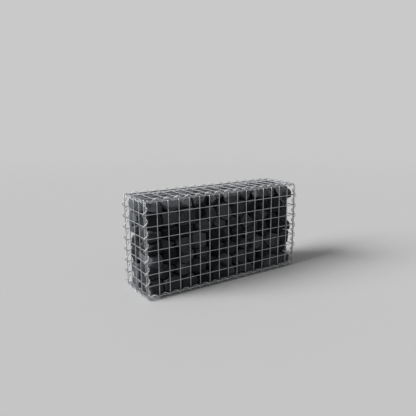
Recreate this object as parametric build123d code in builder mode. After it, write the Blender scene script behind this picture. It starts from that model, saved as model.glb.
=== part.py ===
from build123d import *
from math import cos, pi, sin, sqrt
from random import Random
import os

# A gabion: six welded mesh panels laced together by spiral binders along the
# twelve edges, tied across by one wire and packed with broken stone.
# Millimetres. +X runs along the front, +Y into the depth, +Z up.
# The origin is the middle of the footprint, on the floor.

# Driving dimensions
cell = 50.0
columns = 16
rows = 8
cells_deep = 4
mesh_wire = 3.5
weld_bite = 0.7
fit_gap = 0.3
binder_wire = 3.5
corner_coil = 9.5
lid_coil = 9.2
base_coil = 9.0
end_coil = 8.0
coil_sides = 8
face_step = 9.0
end_step = 3.0
tie_wire = 3.5
tie_column = 10
tie_row = 4
tie_hook_depth = 8.0
stones_per_course = (10, 11, 10, 11, 10, 11, 10)
stone_rows_deep = 2
stone_block = Vector(65, 80, 52)
stone_reach = 150.0
stone_joint = 0.4
stone_wander = 12.0
stone_facets = 6
right_voids = (0, 16, 8, 0, 18, 22, 0)
left_voids = (16, 12, 14, 10, 8, 4, 0)

# Panels: the outer wires of a panel lie on its plane, the inner ones a layer behind
length = columns * cell
height = rows * cell
depth = cells_deep * cell
half_wire = mesh_wire / 2
wire_corner = mesh_wire / sqrt(3)
layer_step = mesh_wire - weld_bite
lid_step = half_wire + wire_corner + fit_gap

# Spiral binders: each winds about the two edge wires that it laces, and the lowest stand on the floor
coil_rise = (lid_step + layer_step) / 2
coil_skin = 0.6 * binder_wire
foot = coil_rise + end_coil + coil_skin
top = foot + height
face_y = depth / 2 + face_step
end_x = length / 2 + end_step
edge_y = (face_y - layer_step + depth / 2) / 2
edge_x = (end_x - layer_step + length / 2) / 2
corner_x = (end_x + length / 2) / 2
corner_y = (face_y + depth / 2) / 2

# Room left for the stones inside the mesh
fill_x = end_x - layer_step - half_wire - fit_gap
fill_y = face_y - layer_step - half_wire - fit_gap
fill_bottom = foot - lid_step + half_wire + fit_gap
fill_top = top + lid_step - half_wire - fit_gap

os.makedirs("parts", exist_ok=True)


def mesh_panel(face, across, upright):
    """Welds one panel: the face plane holds the outer wires and looks out of the basket."""
    foot_of_wires = face.from_local_coords((0, -upright * cell / 2 - half_wire, 0))
    side_of_wires = face.from_local_coords((-across * cell / 2 - half_wire, 0, -layer_step))
    with BuildPart() as panel:
        with BuildSketch(Plane(foot_of_wires, x_dir=face.x_dir, z_dir=face.y_dir)):
            with GridLocations(cell, 0, across + 1, 1):
                RegularPolygon(half_wire, 6, major_radius=False)
        extrude(amount=upright * cell + mesh_wire)
        with BuildSketch(Plane(side_of_wires, x_dir=face.y_dir, z_dir=face.x_dir)):
            with GridLocations(cell, 0, upright + 1, 1):
                RegularPolygon(half_wire, 6, major_radius=False)
        extrude(amount=across * cell + mesh_wire)
    return panel


def spiral_binder(axis, span, end_gap, radius, lag):
    """Winds a right-handed coil about the axis, farthest out a lag past every cross wire."""
    steps = round((span - 2 * end_gap) * coil_sides / cell)
    points = []
    for step in range(steps + 1):
        run = end_gap + step * cell / coil_sides
        turn = 2 * pi * (run / cell - lag)
        points.append(axis.from_local_coords((radius * cos(turn), radius * sin(turn), run)))
    with BuildPart() as binder:
        with BuildLine() as path:
            Polyline(*points)
        outward = points[0] - axis.from_local_coords((0, 0, end_gap))
        with BuildSketch(Plane(points[0], x_dir=outward, z_dir=path.line % 0)):
            RegularPolygon(binder_wire / 2, 6, major_radius=False, rotation=30)
        sweep(transition=Transition.RIGHT)
    return binder


def export(piece, name):
    piece.part.label = name
    export_step(piece.part, f"parts/{name}.step")


# Welded mesh panels
middle = (foot + top) / 2
front_face = Plane((0, -face_y, middle), x_dir=(1, 0, 0), z_dir=(0, -1, 0))
back_face = Plane((0, face_y, middle), x_dir=(-1, 0, 0), z_dir=(0, 1, 0))
left_face = Plane((-end_x, 0, middle), x_dir=(0, -1, 0), z_dir=(-1, 0, 0))
right_face = Plane((end_x, 0, middle), x_dir=(0, 1, 0), z_dir=(1, 0, 0))
lid_face = Plane((0, 0, top + lid_step + layer_step), x_dir=(1, 0, 0), z_dir=(0, 0, 1))
base_face = Plane((0, 0, foot - lid_step - layer_step), x_dir=(-1, 0, 0), z_dir=(0, 0, -1))

export(mesh_panel(front_face, columns, rows), "front_panel")
export(mesh_panel(back_face, columns, rows), "back_panel")
export(mesh_panel(left_face, cells_deep, rows), "left_end_panel")
export(mesh_panel(right_face, cells_deep, rows), "right_end_panel")
export(mesh_panel(lid_face, columns, cells_deep), "lid_panel")
export(mesh_panel(base_face, columns, cells_deep), "base_panel")

# Spiral binders, cut short where three of them meet. The lag is the part of a turn
# between a cross wire and the place where the coil stands farthest out.
long_gap = cell / coil_sides
short_gap = 2 * long_gap
top_z = top + coil_rise
base_z = base_coil + coil_skin
base_end_z = end_coil + coil_skin
coils = (
    ("top_front_spiral", (-length / 2, -edge_y, top_z), (0, -1, 1), lid_coil, 1 / 8),
    ("top_back_spiral", (-length / 2, edge_y, top_z), (0, 1, 1), lid_coil, -1 / 8),
    ("bottom_front_spiral", (-length / 2, -edge_y, base_z), (0, -1, -1), base_coil, 1 / 25),
    ("bottom_back_spiral", (-length / 2, edge_y, base_z), (0, 1, -1), base_coil, 1 / 8),
    ("top_left_spiral", (-edge_x, -depth / 2, top_z), (-1, 0, 1), end_coil, 1 / 2),
    ("top_right_spiral", (edge_x, -depth / 2, top_z), (1, 0, 1), end_coil, -1 / 8),
    ("bottom_left_spiral", (-edge_x, -depth / 2, base_end_z), (-1, 0, -1), end_coil, 0),
    ("bottom_right_spiral", (edge_x, -depth / 2, base_end_z), (1, 0, -1), end_coil, 0),
    ("front_left_corner_spiral", (-corner_x, -corner_y, foot), (-1, -1, 0), corner_coil, 3 / 16),
    ("front_right_corner_spiral", (corner_x, -corner_y, foot), (1, -1, 0), corner_coil, -1 / 16),
    ("back_left_corner_spiral", (-corner_x, corner_y, foot), (-1, 1, 0), corner_coil, 3 / 16),
    ("back_right_corner_spiral", (corner_x, corner_y, foot), (1, 1, 0), corner_coil, 1 / 16),
)
for name, start, outward, radius, lag in coils:
    if outward[0] == 0:
        axis = Plane(start, x_dir=outward, z_dir=(1, 0, 0))
        export(spiral_binder(axis, length, long_gap, radius, lag), name)
    elif outward[1] == 0:
        axis = Plane(start, x_dir=outward, z_dir=(0, 1, 0))
        export(spiral_binder(axis, depth, short_gap, radius, lag), name)
    else:
        axis = Plane(start, x_dir=outward, z_dir=(0, 0, 1))
        export(spiral_binder(axis, height, short_gap, radius, lag), name)

# Tie wire: runs through the fill and hooks over a mesh crossing on either face
tie_pass = wire_corner + tie_wire / 2 + fit_gap
tie_x = -length / 2 + tie_column * cell
tie_z = foot + tie_row * cell
tie_front = face_y + half_wire + tie_wire / 2 + fit_gap
inside = (tie_x + tie_pass, tie_z + tie_pass)
outside = (tie_x - tie_pass, tie_z - tie_pass)
hook_end = tie_front - tie_hook_depth
with BuildPart() as tie:
    with BuildLine() as route:
        FilletPolyline(
            (outside[0], -hook_end, outside[1]),
            (outside[0], -tie_front, outside[1]),
            (inside[0], -tie_front, inside[1]),
            (inside[0], tie_front, inside[1]),
            (outside[0], tie_front, outside[1]),
            (outside[0], hook_end, outside[1]),
            radius=tie_wire * 0.75,
        )
    with BuildSketch(Plane(route.line @ 0, z_dir=route.line % 0)):
        Circle(tie_wire / 2)
    sweep()
export(tie, "tie_wire")

# Stone fill: seeds scattered in courses, each grown to the planes midway to its neighbours
chance = Random(41)
courses = len(stones_per_course)
course_height = (fill_top - fill_bottom) / courses
seeds = []
for course, count in enumerate(stones_per_course):
    for place in range(count):
        for layer in range(stone_rows_deep):
            x = fill_x * (2 * (place + 0.5) / count - 1) + chance.uniform(-1, 1) * stone_wander
            y = fill_y * (2 * (layer + 0.5) / stone_rows_deep - 1) + chance.uniform(-1, 1) * stone_wander
            z = fill_bottom + course_height * (course + 0.5) + chance.uniform(-0.5, 0.5) * stone_wander
            seeds.append((course, Vector(x, y, z)))


def stone_limits(seed, course):
    """Lists the planes that hold a stone to its place, nearest neighbours first."""
    limits = []
    near = [other - seed for _, other in seeds if 0 < (other - seed).length < stone_reach]
    for apart in sorted(near, key=lambda apart: apart.length):
        limits.append((seed + apart * (0.5 - stone_joint / 2 / apart.length), apart))

    # beside every coil the fill stops short, most of all at the front of the lid and two corners
    voids = {
        "top_front_spiral": 36 * chance.random(),
        "top_right_spiral": 16 * chance.random(),
        "top_left_spiral": 8 * chance.random(),
        "front_left_corner_spiral": 12 * chance.random(),
        "front_right_corner_spiral": right_voids[course],
        "back_left_corner_spiral": left_voids[course],
        "back_right_corner_spiral": 20 * chance.random(),
    }
    for name, start, outward, radius, _ in coils:
        inset = radius + coil_skin + fit_gap + voids.get(name, 0)
        limits.append((Vector(*start) - Vector(*outward).normalized() * inset, Vector(*outward)))

    to_tie = Vector(inside[0] - seed.X, 0, inside[1] - seed.Z)
    limits.append((seed + to_tie - to_tie.normalized() * (tie_wire / 2 + fit_gap), to_tie))
    return limits


def broken_stone(seed, course):
    """Cuts one stone from a block: first to its place in the fill, then by fracture planes.

    A stone against the base, the lid or the right end keeps the flat side that lies there.
    """
    low, high = seed - stone_block, seed + stone_block
    low = Vector(max(low.X, -fill_x), max(low.Y, -fill_y), max(low.Z, fill_bottom))
    high = Vector(min(high.X, fill_x), min(high.Y, fill_y), min(high.Z, fill_top))
    with BuildPart() as rock:
        with Locations((low + high) / 2):
            Box(*(high - low))
        corners = [corner.center() for corner in rock.vertices()]
        for point, outward in stone_limits(seed, course):
            if max((corner - point).dot(outward.normalized()) for corner in corners) > fit_gap:
                split(bisect_by=Plane(point, z_dir=outward), keep=Keep.BOTTOM)
                corners = [corner.center() for corner in rock.vertices()]
        for _ in range(stone_facets):
            way = Vector(chance.uniform(-1, 1), chance.uniform(-1, 1), chance.uniform(-1, 1)).normalized()
            if low.Z == fill_bottom:
                way.Z = abs(way.Z)
            if high.Z == fill_top:
                way.Z = -abs(way.Z)
            if high.X == fill_x:
                way.X = -abs(way.X)
            reach = max((corner - seed).dot(way) for corner in corners)
            split(bisect_by=Plane(seed + way * reach * chance.uniform(0.64, 0.88), z_dir=way), keep=Keep.BOTTOM)
            corners = [corner.center() for corner in rock.vertices()]
    return rock.part


for course in range(courses):
    with BuildPart() as stones:
        add([broken_stone(seed, course) for number, seed in seeds if number == course])
    export(stones, f"stone_course_{course + 1}")
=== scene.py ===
import math
import random
import bmesh
import bpy
from mathutils import Matrix, Vector, noise


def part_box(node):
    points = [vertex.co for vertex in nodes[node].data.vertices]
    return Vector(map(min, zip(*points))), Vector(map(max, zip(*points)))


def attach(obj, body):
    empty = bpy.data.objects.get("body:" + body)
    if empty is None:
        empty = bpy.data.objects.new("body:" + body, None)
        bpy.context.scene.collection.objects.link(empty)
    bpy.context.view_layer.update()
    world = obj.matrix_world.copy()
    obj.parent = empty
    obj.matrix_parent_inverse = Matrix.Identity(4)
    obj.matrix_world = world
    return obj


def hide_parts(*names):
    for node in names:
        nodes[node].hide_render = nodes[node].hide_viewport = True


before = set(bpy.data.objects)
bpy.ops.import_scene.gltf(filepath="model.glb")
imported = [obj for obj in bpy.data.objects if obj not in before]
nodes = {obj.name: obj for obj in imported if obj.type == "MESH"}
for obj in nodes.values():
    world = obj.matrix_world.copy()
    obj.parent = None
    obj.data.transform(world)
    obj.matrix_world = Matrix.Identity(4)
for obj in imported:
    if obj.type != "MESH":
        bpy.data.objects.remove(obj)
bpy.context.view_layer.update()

# metres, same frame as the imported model: +X along the front, +Y into the depth, +Z up


class Tone:
    # one output socket of a material; sums, differences and products of it add Math nodes
    def __init__(self, coat, socket):
        self.coat, self.socket = coat, socket

    def maths(self, operation, first, second):
        return self.coat.node("ShaderNodeMath", {"operation": operation}, {0: first, 1: second})

    def __add__(self, other): return self.maths("ADD", self, other)
    def __radd__(self, other): return self.maths("ADD", other, self)
    def __sub__(self, other): return self.maths("SUBTRACT", self, other)
    def __rsub__(self, other): return self.maths("SUBTRACT", other, self)
    def __mul__(self, other): return self.maths("MULTIPLY", self, other)
    def __rmul__(self, other): return self.maths("MULTIPLY", other, self)


class Coat:
    # a material or world being built; node() takes a node's type, its settings, then its sockets
    def __init__(self, material):
        self.material = material
        self.material.use_nodes = True
        self.tree = self.material.node_tree
        self.shader = self.tree.nodes.get("Principled BSDF")
        self.place = self.node("ShaderNodeTexCoord", output="Object")

    def node(self, kind, settings=None, sockets=None, output=0):
        made = self.tree.nodes.new(kind)
        for key, value in (settings or {}).items():
            setattr(made, key, value)
        for key, value in (sockets or {}).items():
            self.feed(made.inputs[key], value)
        return Tone(self, made.outputs[output])

    def feed(self, target, value):
        if isinstance(value, Tone):
            self.tree.links.new(value.socket, target)
        else:
            target.default_value = value

    def noise(self, scale, detail=3.0, roughness=0.55):
        return self.node("ShaderNodeTexNoise", {}, {
            "Vector": self.place, "Scale": scale, "Detail": detail, "Roughness": roughness})

    def crystals(self, scale, output):
        return self.node("ShaderNodeTexVoronoi", {"feature": "F1"}, {
            "Vector": self.place, "Scale": scale}, output)

    def fit(self, value, low, high, newLow=0.0, newHigh=1.0):
        return self.node("ShaderNodeMapRange", {"interpolation_type": "SMOOTHSTEP"}, {
            "Value": value, "From Min": low, "From Max": high, "To Min": newLow, "To Max": newHigh})

    def blend(self, factor, first, second):
        return self.node("ShaderNodeMix", {"data_type": "RGBA"}, {
            "Factor": factor, 6: first, 7: second}, output=2)

    def bump(self, height, strength, distance, under=None):
        sockets = {"Strength": strength, "Distance": distance, "Height": height}
        if under:
            sockets["Normal"] = under
        return self.node("ShaderNodeBump", {}, sockets)

    def finish(self, **sockets):
        for key, value in sockets.items():
            self.feed(self.shader.inputs[key.replace("_", " ")], value)
        return self.material


def objectFrom(bm, name):
    mesh = bpy.data.meshes.new(name)
    bm.to_mesh(mesh)
    bm.free()
    for face in mesh.polygons:
        face.use_smooth = True
    piece = bpy.data.objects.new(name, mesh)
    bpy.context.scene.collection.objects.link(piece)
    return piece


def standFor(piece, node, finish):
    piece.data.materials.append(finish)
    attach(piece, "root")
    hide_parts(node)


# stage: a pale floor that fades out into a pale surround, and soft daylight from the upper left.
# What the eye and reflections see of both is paler than the light that they throw back on the part.
stage = {
    "floorColour": (0.70, 0.70, 0.70, 1.0), "floorBounce": (0.10, 0.10, 0.10, 1.0), "floorRough": 0.85,
    "floorGrain": 90.0, "grainStrength": 0.08, "grainDepth": 0.0004,
    "floorRadius": 7.0, "floorSides": 96, "fadeFrom": 2.5,
    "surround": (0.58, 0.58, 0.58, 1.0), "skyColour": (1.0, 1.0, 1.0, 1.0), "skyStrength": 0.22,
    "sunFrom": (-2.4, 0.50, 1.50), "sunStrength": 3.5, "sunSpread": 36.0,
}


def seenDirectly(coat):
    # 1 for what the camera, glossy and transmitted rays meet, 0 for light that goes on to the part
    camera, glossy, through = [coat.node("ShaderNodeLightPath", output=kind) for kind in (
        "Is Camera Ray", "Is Glossy Ray", "Is Transmission Ray")]
    return coat.fit(camera + glossy + through, 0.0, 1.0)


def buildStage():
    bm = bmesh.new()
    bmesh.ops.create_circle(bm, cap_ends=True, segments=stage["floorSides"], radius=stage["floorRadius"])
    floor = objectFrom(bm, "floor")
    coat = Coat(bpy.data.materials.new("paleFloor"))
    across = coat.node("ShaderNodeVectorMath", {"operation": "LENGTH"}, {0: coat.place}, output=1)
    fade = coat.fit(across, stage["fadeFrom"], stage["floorRadius"])
    colour = coat.blend(seenDirectly(coat), stage["floorBounce"], stage["floorColour"])
    relief = coat.bump(coat.noise(stage["floorGrain"], 4.0), stage["grainStrength"], stage["grainDepth"])
    ground = coat.finish(Base_Color=colour, Roughness=stage["floorRough"], Specular_IOR_Level=0.0,
                         Normal=relief)
    shown = coat.node("ShaderNodeMixShader", {}, {
        0: 1 - fade, 1: coat.node("ShaderNodeBsdfTransparent"), 2: Tone(coat, coat.shader.outputs[0])})
    coat.feed(coat.tree.nodes["Material Output"].inputs["Surface"], shown)
    floor.data.materials.append(ground)

    sky = Coat(bpy.data.worlds.new("surround"))
    bpy.context.scene.world = sky.material
    light = sky.node("ShaderNodeBackground", {}, {
        "Color": stage["skyColour"], "Strength": stage["skyStrength"]})
    seen = sky.node("ShaderNodeBackground", {}, {"Color": stage["surround"]})
    both = sky.node("ShaderNodeMixShader", {}, {0: seenDirectly(sky), 1: light, 2: seen})
    sky.feed(sky.tree.nodes["World Output"].inputs["Surface"], both)

    sun = bpy.data.objects.new("softSun", bpy.data.lights.new("softSun", "SUN"))
    sun.data.energy, sun.data.angle = stage["sunStrength"], math.radians(stage["sunSpread"])
    sun.rotation_euler = Vector(stage["sunFrom"]).to_track_quat("Z", "Y").to_euler()
    bpy.context.scene.collection.objects.link(sun)
    bpy.context.scene.view_settings.view_transform = "Standard"


# camera at the photograph's viewing angle: turn, down and roll in degrees, lens and sensor in
# millimetres; the eye is measured from the lowest left crossing of the front
lookout = {
    "eye": (-0.6671, -1.4812, 0.7237), "turn": 32.91, "down": 12.10, "roll": -0.39,
    "lens": 36.36, "sensor": 36.0,
}


def placeCamera(lowestLeft):
    camera = bpy.data.objects.new("camera", bpy.data.cameras.new("camera"))
    camera.data.lens, camera.data.sensor_width = lookout["lens"], lookout["sensor"]
    turn = (Matrix.Rotation(-math.radians(lookout["turn"]), 4, "Z")
            @ Matrix.Rotation(math.radians(90.0 - lookout["down"]), 4, "X")
            @ Matrix.Rotation(math.radians(lookout["roll"]), 4, "Z"))
    camera.matrix_world = Matrix.Translation(lowestLeft + Vector(lookout["eye"])) @ turn
    bpy.context.scene.collection.objects.link(camera)
    bpy.context.scene.camera = camera


# what mesh and binders share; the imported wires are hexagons, whose corners reach out a little farther
basket = {"cell": 0.050, "wire": 0.0035, "hexCorner": 0.0035 / math.sqrt(3.0), "sides": 10}

# welded mesh: round wires in two layers with a small flattened weld at every crossing
meshLook = {
    "bendsPerCell": 2, "rim": 0.25,  # rim: bevel at a cut end, as a share of the wire's radius
    "sway": 0.00035, "swayLength": 0.07, "weldWide": 0.0025, "weldDeep": 0.0016,
}


def linkedEdges(points):
    # in a fixed order, so that every run gives the same mesh
    return list(dict.fromkeys(edge for point in points for edge in point.link_edges))


def drawWire(bm, start, end, bends):
    radius = basket["wire"] / 2
    along = end - start
    place = Matrix.Translation((start + end) / 2) @ along.to_track_quat("Z", "Y").to_matrix().to_4x4()
    made = bmesh.ops.create_cone(bm, cap_ends=True, segments=basket["sides"], radius1=radius, radius2=radius,
                                 depth=along.length, matrix=place)
    edges = linkedEdges(made["verts"])
    longEdges = [edge for edge in edges if edge.calc_length() > along.length / 2]
    rims = [edge for edge in edges if edge not in longEdges]
    bmesh.ops.subdivide_edges(bm, edges=longEdges, cuts=bends, use_grid_fill=True)
    bmesh.ops.bevel(bm, geom=rims, offset=radius * meshLook["rim"], segments=1, profile=0.5, affect="EDGES",
                    material=-1)


def swayWires(bm, outward, seed):
    # drawn wire is never quite straight
    for point in bm.verts:
        where = point.co / meshLook["swayLength"] + Vector((seed, seed * 2.0, 0.0))
        point.co += outward * (noise.noise(where) * meshLook["sway"])


def addWeld(bm, crossing, outward):
    turn = outward.to_track_quat("Z", "Y").to_matrix().to_4x4()
    shape = Matrix.Diagonal((meshLook["weldWide"], meshLook["weldWide"], meshLook["weldDeep"], 1.0))
    place = Matrix.Translation(crossing) @ turn @ shape
    bmesh.ops.create_icosphere(bm, subdivisions=1, radius=1.0, matrix=place)


def weldMesh(name, node, outward, upright, seed):
    cell, half = basket["cell"], basket["wire"] / 2
    low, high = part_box(node)
    across = upright.cross(outward)
    middle, size = (low + high) / 2, high - low
    tall = abs(size.dot(upright)) / 2 - basket["hexCorner"]
    wide = abs(size.dot(across)) / 2 - basket["hexCorner"]
    thick = abs(size.dot(outward)) / 2 - half
    columns, rows = round(2 * wide / cell), round(2 * tall / cell)
    outer, inner = middle + outward * thick, middle - outward * thick
    bm = bmesh.new()
    for column in range(columns + 1):
        shift, reach = across * (column * cell - wide), upright * (tall + half)
        drawWire(bm, outer + shift - reach, outer + shift + reach, rows * meshLook["bendsPerCell"])
    for row in range(rows + 1):
        shift, reach = upright * (row * cell - tall), across * (wide + half)
        drawWire(bm, inner + shift - reach, inner + shift + reach, columns * meshLook["bendsPerCell"])
    swayWires(bm, outward, seed)
    for column in range(columns + 1):
        for row in range(rows + 1):
            addWeld(bm, middle + across * (column * cell - wide) + upright * (row * cell - tall), outward)
    bmesh.ops.recalc_face_normals(bm, faces=bm.faces)
    return objectFrom(bm, name)


# spiral binders: one right-handed turn to a cell. A lag, in turns, puts the place where the coil
# stands farthest out a little past each cross wire; edges that aren't listed have none
binderLook = {
    "stepsPerTurn": 20, "trim": 0.0015,  # trim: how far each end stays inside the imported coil's box
    "radius": {"corner": 0.0091, "top": 0.0088, "bottom": 0.0086, "end": 0.0077},
    "lag": {"top_front": 0.125, "top_back": -0.125, "bottom_front": 0.04, "bottom_back": 0.125,
            "top_left": 0.5, "top_right": -0.125, "front_left_corner": 0.1875, "back_left_corner": 0.1875,
            "front_right_corner": -0.0625, "back_right_corner": 0.0625},
}


def coilRadius(edge, axis):
    if "corner" in edge:
        return binderLook["radius"]["corner"]
    level = edge.split("_")[0]
    return binderLook["radius"]["end" if axis.y else level]


def windBinder(edge, axis, outward, firstCross):
    radius, pitch = coilRadius(edge, axis), basket["cell"]
    low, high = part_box(edge + "_spiral")
    span = abs((high - low).dot(axis)) / 2 - binderLook["trim"]
    start = (low + high) / 2 - axis * span
    run = (start - firstCross).dot(axis)
    turn = 2 * math.pi * (run / pitch - binderLook["lag"].get(edge, 0.0))
    outward = (outward - axis * outward.dot(axis)).normalized()
    arm = outward * math.cos(turn) + axis.cross(outward) * math.sin(turn)
    forward = (axis.cross(arm) * radius * 2 * math.pi + axis * pitch).normalized()
    place = Matrix.Translation(start + arm * radius) @ forward.to_track_quat("Z", "Y").to_matrix().to_4x4()
    turns = 2 * span / pitch
    steps = round(turns * binderLook["stepsPerTurn"])
    bm = bmesh.new()
    ring = bmesh.ops.create_circle(bm, cap_ends=False, segments=basket["sides"], radius=basket["wire"] / 2,
                                   matrix=place)
    bmesh.ops.spin(bm, geom=ring["verts"] + linkedEdges(ring["verts"]), cent=start, axis=axis,
                   dvec=axis * (2 * span / steps), angle=2 * math.pi * turns, steps=steps,
                   use_merge=False, use_duplicate=False)
    bmesh.ops.holes_fill(bm, edges=[edge for edge in bm.edges if edge.is_boundary], sides=basket["sides"])
    bmesh.ops.recalc_face_normals(bm, faces=bm.faces)
    return objectFrom(bm, edge + "_binder")


# broken stone: each packed block is split and chipped, remeshed and roughened inwards from its own
# faces. Angles are in radians
stoneLook = {
    "splits": 3, "splitTilt": (0.06, 0.22), "splitTurn": (1.5, 2.7), "splitFrom": (-0.05, 0.3),
    "splitWidth": 0.02, "underLid": 0.5,  # narrower faces stay whole, and those under the lid split flatter
    "crowns": 3, "crownTilt": (0.55, 1.0), "crownTurn": (1.4, 2.8), "crownDepth": (0.004, 0.013),
    "chips": 9, "chipStray": 0.45, "chipDepth": (0.001, 0.005),
    "edge": 0.0012, "voxel": 0.0036, "quickVoxel": 0.00792,
    "swell": 0.0015, "swellSize": 0.030, "swellForm": (1.0, 2.2, 3, 0.6),  # as hetero_terrain takes it
    "pit": 0.0010, "pitSize": 0.009, "sink": 0.0004,
    "worked": 0.045, "outside": 0.002,  # how deep into the fill stones are worked, and what counts as outside
    "firstSeed": 295, "noiseReach": 50.0,
}
hair = 0.00002  # corners of a packed block that lie closer than this are one


def stoneShells(node):
    # the separate stones of a course as lists of corner points
    bm = bmesh.new()
    bm.from_mesh(nodes[node].data)
    bmesh.ops.remove_doubles(bm, verts=bm.verts, dist=hair)
    met, shells = set(), []
    for first in bm.verts:
        shell = [] if first in met else [first]
        met.add(first)
        for point in shell:
            for edge in point.link_edges:
                other = edge.other_vert(point)
                if other not in met:
                    met.add(other)
                    shell.append(other)
        if shell:
            shells.append([point.co.copy() for point in shell])
    bm.free()
    return shells


def depthInFill(point, fill):
    return min(min(c - low, high - c) for c, low, high in zip(point, *fill))


def cutAway(bm, point, way):
    bmesh.ops.bisect_plane(bm, geom=bm.verts[:] + bm.edges[:] + bm.faces[:], dist=hair / 2,
                           plane_co=point, plane_no=way, clear_outer=True)
    bmesh.ops.holes_fill(bm, edges=[edge for edge in bm.edges if edge.is_boundary], sides=0)


def knockOff(bm, centre, way, depth):
    # takes off what reaches farthest along the way
    reach = max((point.co - centre).dot(way) for point in bm.verts)
    cutAway(bm, centre + way * (reach - depth), way)


def splitFaces(bm, fill, dice):
    # the large faces against the mesh break off along tilted planes, each from near its middle
    look = stoneLook
    outer = []
    for face in bm.faces:
        middle, width = face.calc_center_median(), math.sqrt(face.calc_area())
        if width > look["splitWidth"] and depthInFill(middle, fill) < look["outside"]:
            outer.append((middle, face.normal.copy(), width))
    for middle, normal, width in outer:
        side = normal.orthogonal().normalized()
        flatter = look["underLid"] if normal.z > 0.9 else 1.0
        for _ in range(look["splits"]):
            side = Matrix.Rotation(dice.uniform(*look["splitTurn"]), 3, normal) @ side
            start = middle + side * width * dice.uniform(*look["splitFrom"])
            tilt = dice.uniform(*look["splitTilt"]) * flatter
            cutAway(bm, start, normal + side * math.tan(tilt))


def slopeCrown(bm, centre, dice):
    # a stone under the lid loses top corners, each to a slope of its own
    look = stoneLook
    around = dice.uniform(0.0, 2 * math.pi)
    for _ in range(look["crowns"]):
        around += dice.uniform(*look["crownTurn"])
        tilt = dice.uniform(*look["crownTilt"])
        way = Vector((math.sin(tilt) * math.cos(around), math.sin(tilt) * math.sin(around), math.cos(tilt)))
        knockOff(bm, centre, way, dice.uniform(*look["crownDepth"]))


def chipCorners(bm, centre, fill, dice):
    look = stoneLook
    for _ in range(look["chips"]):
        near = [point.co for point in bm.verts if depthInFill(point.co, fill) < look["worked"]]
        way = dice.choice(near) - centre
        stray = Vector([dice.uniform(-look["chipStray"], look["chipStray"]) for _ in range(3)])
        knockOff(bm, centre, (way.normalized() + stray).normalized(), dice.uniform(*look["chipDepth"]))


def breakStone(corners, fill, dice):
    bm = bmesh.new()
    for corner in corners:
        bm.verts.new(corner)
    bmesh.ops.convex_hull(bm, input=bm.verts)
    bmesh.ops.dissolve_limit(bm, angle_limit=0.02, verts=bm.verts, edges=bm.edges)
    bmesh.ops.recalc_face_normals(bm, faces=bm.faces)
    centre = sum(corners, Vector()) / len(corners)
    splitFaces(bm, fill, dice)
    if fill[1][2] - max(corner.z for corner in corners) < 0.001:
        slopeCrown(bm, centre, dice)
    chipCorners(bm, centre, fill, dice)
    bmesh.ops.bevel(bm, geom=bm.edges[:], offset=stoneLook["edge"], segments=1, profile=0.5, affect="EDGES",
                    clamp_overlap=True, material=-1)
    rough = objectFrom(bm, "roughStone")
    remesh = rough.modifiers.new("remesh", "REMESH")
    remesh.mode = "VOXEL"
    remesh.voxel_size = stoneLook["voxel"]
    graph = bpy.context.evaluated_depsgraph_get()
    mesh = bpy.data.meshes.new_from_object(rough.evaluated_get(graph))
    bpy.data.meshes.remove(rough.data)
    return mesh


def weatherStone(mesh, fill, dice):
    # only near the outside: the middle of the fill stays tight, so that no light comes through
    look = stoneLook
    offset = Vector([dice.uniform(-look["noiseReach"], look["noiseReach"]) for _ in range(3)])
    points, normals = [v.co.copy() for v in mesh.vertices], [v.normal.copy() for v in mesh.vertices]
    for vertex, point, normal in zip(mesh.vertices, points, normals):
        swell = noise.hetero_terrain(point / look["swellSize"] + offset, *look["swellForm"])
        pit = noise.noise(point / look["pitSize"] + offset)
        inward = look["sink"] + look["swell"] * max(0.0, swell) + look["pit"] * (0.5 + 0.5 * pit)
        inward *= min(1.0, max(0.0, 1.5 - depthInFill(point, fill) / look["worked"]))
        vertex.co = point - normal * inward


def heapCourse(name, node, fill, seed):
    dice = random.Random(seed)
    bm = bmesh.new()
    tones = []
    for corners in stoneShells(node):
        mesh = breakStone(corners, fill, dice)
        weatherStone(mesh, fill, dice)
        bm.from_mesh(mesh)
        tones += [dice.random()] * (len(bm.verts) - len(tones))
        bpy.data.meshes.remove(mesh)
    piece = objectFrom(bm, name)
    layer = piece.data.attributes.new("stoneTone", "FLOAT", "POINT")
    layer.data.foreach_set("value", tones)
    return piece


# dark basalt: every stone has its own grey, under a lighter grain and pale specks; on what looks upwards a
# pale tint that is partly dust and partly painted light, faces turned up being painted paler as if lit.
# Scales are per metre, a cover is how much of a tint shows where it is strongest
basaltLook = {
    "dark": (0.019, 0.021, 0.0235, 1.0), "light": (0.141, 0.150, 0.164, 1.0), "ownTone": 0.65,
    "cloud": 18.0, "grain": 420.0, "grainTint": (0.13, 0.134, 0.14, 1.0), "grainCover": 0.3,
    "speck": 650.0, "speckTint": (0.20, 0.20, 0.20, 1.0), "speckCover": 0.4,
    "dustAndPaintedLight": 60.0, "dustAndPaintedLightSlope": (0.1, 0.7), "dustAndPaintedLightTint": (0.22, 0.224, 0.232, 1.0), "dustAndPaintedLightCover": 0.5,
    "smooth": 0.58, "rough": 0.86, "shine": 0.06,
    "break": 110.0, "breakStrength": 0.55, "breakDepth": 0.0016, "grainStrength": 0.45, "grainDepth": 0.0004,
}


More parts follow.
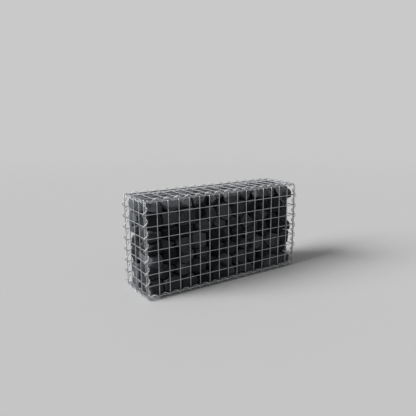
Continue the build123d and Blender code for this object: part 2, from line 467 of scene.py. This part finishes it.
def stoneCoat():
    look = basaltLook
    coat = Coat(bpy.data.materials.new("darkBasalt"))
    ownTone = coat.node("ShaderNodeAttribute", {"attribute_name": "stoneTone"}, output="Fac")
    cloud = coat.noise(look["cloud"], 4.0)
    grain = coat.noise(look["grain"], 3.0, 0.7)
    speck = coat.crystals(look["speck"], "Distance")
    facing = coat.node("ShaderNodeNewGeometry", output="Normal")
    upward = coat.node("ShaderNodeSeparateXYZ", {}, {0: facing}, output="Z")
    # dust and painted light: faces turned upwards get a paler tint, partly dust settled on them and partly
    # painted light standing in for the brighter light on top faces
    dustAndPaintedLight = coat.fit(upward, *look["dustAndPaintedLightSlope"]) * coat.fit(coat.noise(look["dustAndPaintedLight"], 5.0, 0.7), 0.3, 0.65)
    tone = coat.fit(ownTone * look["ownTone"] + cloud * (1 - look["ownTone"]), 0.2, 0.8)
    stone = coat.blend(tone, look["dark"], look["light"])
    stone = coat.blend(coat.fit(grain, 0.45, 0.75) * look["grainCover"], stone, look["grainTint"])
    stone = coat.blend(coat.fit(speck, 0.12, 0.02) * look["speckCover"], stone, look["speckTint"])
    # paints the upward faces paler: partly dust, partly painted light
    stone = coat.blend(dustAndPaintedLight * look["dustAndPaintedLightCover"], stone, look["dustAndPaintedLightTint"])
    relief = coat.bump(coat.noise(look["break"], 6.0, 0.62), look["breakStrength"], look["breakDepth"])
    relief = coat.bump(grain, look["grainStrength"], look["grainDepth"], relief)
    rough = coat.fit(grain + dustAndPaintedLight, 0.2, 1.2, look["smooth"], look["rough"])
    return coat.finish(Base_Color=stone, Roughness=rough, Specular_IOR_Level=look["shine"], Normal=relief)


# zinc: flakes of crystal between a dark and a light grey, with dull stains; the binders are brighter
zincLook = {
    "mesh": {"dark": (0.412, 0.426, 0.445, 1.0), "light": (0.59, 0.607, 0.632, 1.0), "rough": 0.48},
    "binder": {"dark": (0.442, 0.455, 0.473, 1.0), "light": (0.69, 0.705, 0.727, 1.0), "rough": 0.50},
    "flake": 340.0, "cloud": 160.0, "flakeShare": 0.7, "metal": 0.75,
    "stain": 35.0, "stainTint": (0.30, 0.30, 0.29, 1.0), "stainCover": 0.45,
    "smoother": 0.08, "rougher": 0.18, "grit": 900.0, "gritStrength": 0.25, "gritDepth": 0.0002,
}


def zincCoat(name, wire):
    look = zincLook
    own = look[wire]
    coat = Coat(bpy.data.materials.new(name))
    flake = coat.node("ShaderNodeSeparateColor", {}, {0: coat.crystals(look["flake"], "Color")}, output="Red")
    stain = coat.fit(coat.noise(look["stain"], 5.0, 0.65), 0.42, 0.68)
    mixed = flake * look["flakeShare"] + coat.noise(look["cloud"]) * (1 - look["flakeShare"])
    zinc = coat.blend(mixed, own["dark"], own["light"])
    zinc = coat.blend(stain * look["stainCover"], zinc, look["stainTint"])
    relief = coat.bump(coat.noise(look["grit"]), look["gritStrength"], look["gritDepth"])
    rough = coat.fit(flake * 0.5 + stain * 0.5, 0.0, 1.0, own["rough"] - look["smoother"],
                     own["rough"] + look["rougher"])
    return coat.finish(Base_Color=zinc, Metallic=look["metal"], Roughness=rough, Normal=relief)


print("stage and camera")
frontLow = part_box("front_panel")[0]
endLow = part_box("left_end_panel")[0]
corner = basket["hexCorner"]
frontCross = frontLow + Vector((corner, basket["wire"] / 2, corner))
firstCross = Vector((frontLow.x + corner, endLow.y + corner, frontLow.z + corner))
buildStage()
placeCamera(frontCross)

print("finishes")
basalt = stoneCoat()
meshZinc = zincCoat("dullZinc", "mesh")
binderZinc = zincCoat("brighterZinc", "binder")

print("welded mesh")
right, deep, up = Vector((1, 0, 0)), Vector((0, 1, 0)), Vector((0, 0, 1))
panels = [
    ("front_mesh", "front_panel", -deep, up), ("back_mesh", "back_panel", deep, up),
    ("left_end_mesh", "left_end_panel", -right, up), ("right_end_mesh", "right_end_panel", right, up),
    ("lid_mesh", "lid_panel", up, deep), ("base_mesh", "base_panel", -up, deep)]
for seed, (name, node, outward, upright) in enumerate(panels):
    standFor(weldMesh(name, node, outward, upright, seed), node, meshZinc)

print("spiral binders")
levels = (("top", 1), ("bottom", -1))
faces = (("front", -1), ("back", 1))
ends = (("left", -1), ("right", 1))
binders = [(level + "_" + face, right, deep * out + up * rise)
           for level, rise in levels for face, out in faces]
binders += [(level + "_" + end, deep, right * out + up * rise)
            for level, rise in levels for end, out in ends]
binders += [(face + "_" + end + "_corner", up, right * outX + deep * outY)
            for face, outY in faces for end, outX in ends]
for edge, axis, outward in binders:
    standFor(windBinder(edge, axis, outward, firstCross), edge + "_spiral", binderZinc)
nodes["tie_wire"].material_slots[0].material = binderZinc

print("stone fill")
courses = sorted(name for name in nodes if name.startswith("stone_course"))
lows, highs = zip(*[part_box(node) for node in courses])
fill = [min(values) for values in zip(*lows)], [max(values) for values in zip(*highs)]
for seed, node in enumerate(courses, stoneLook["firstSeed"]):
    piece = heapCourse(node.replace("course", "layer"), node, fill, seed)
    standFor(piece, node, basalt)
    print(node, len(piece.data.polygons), "faces")
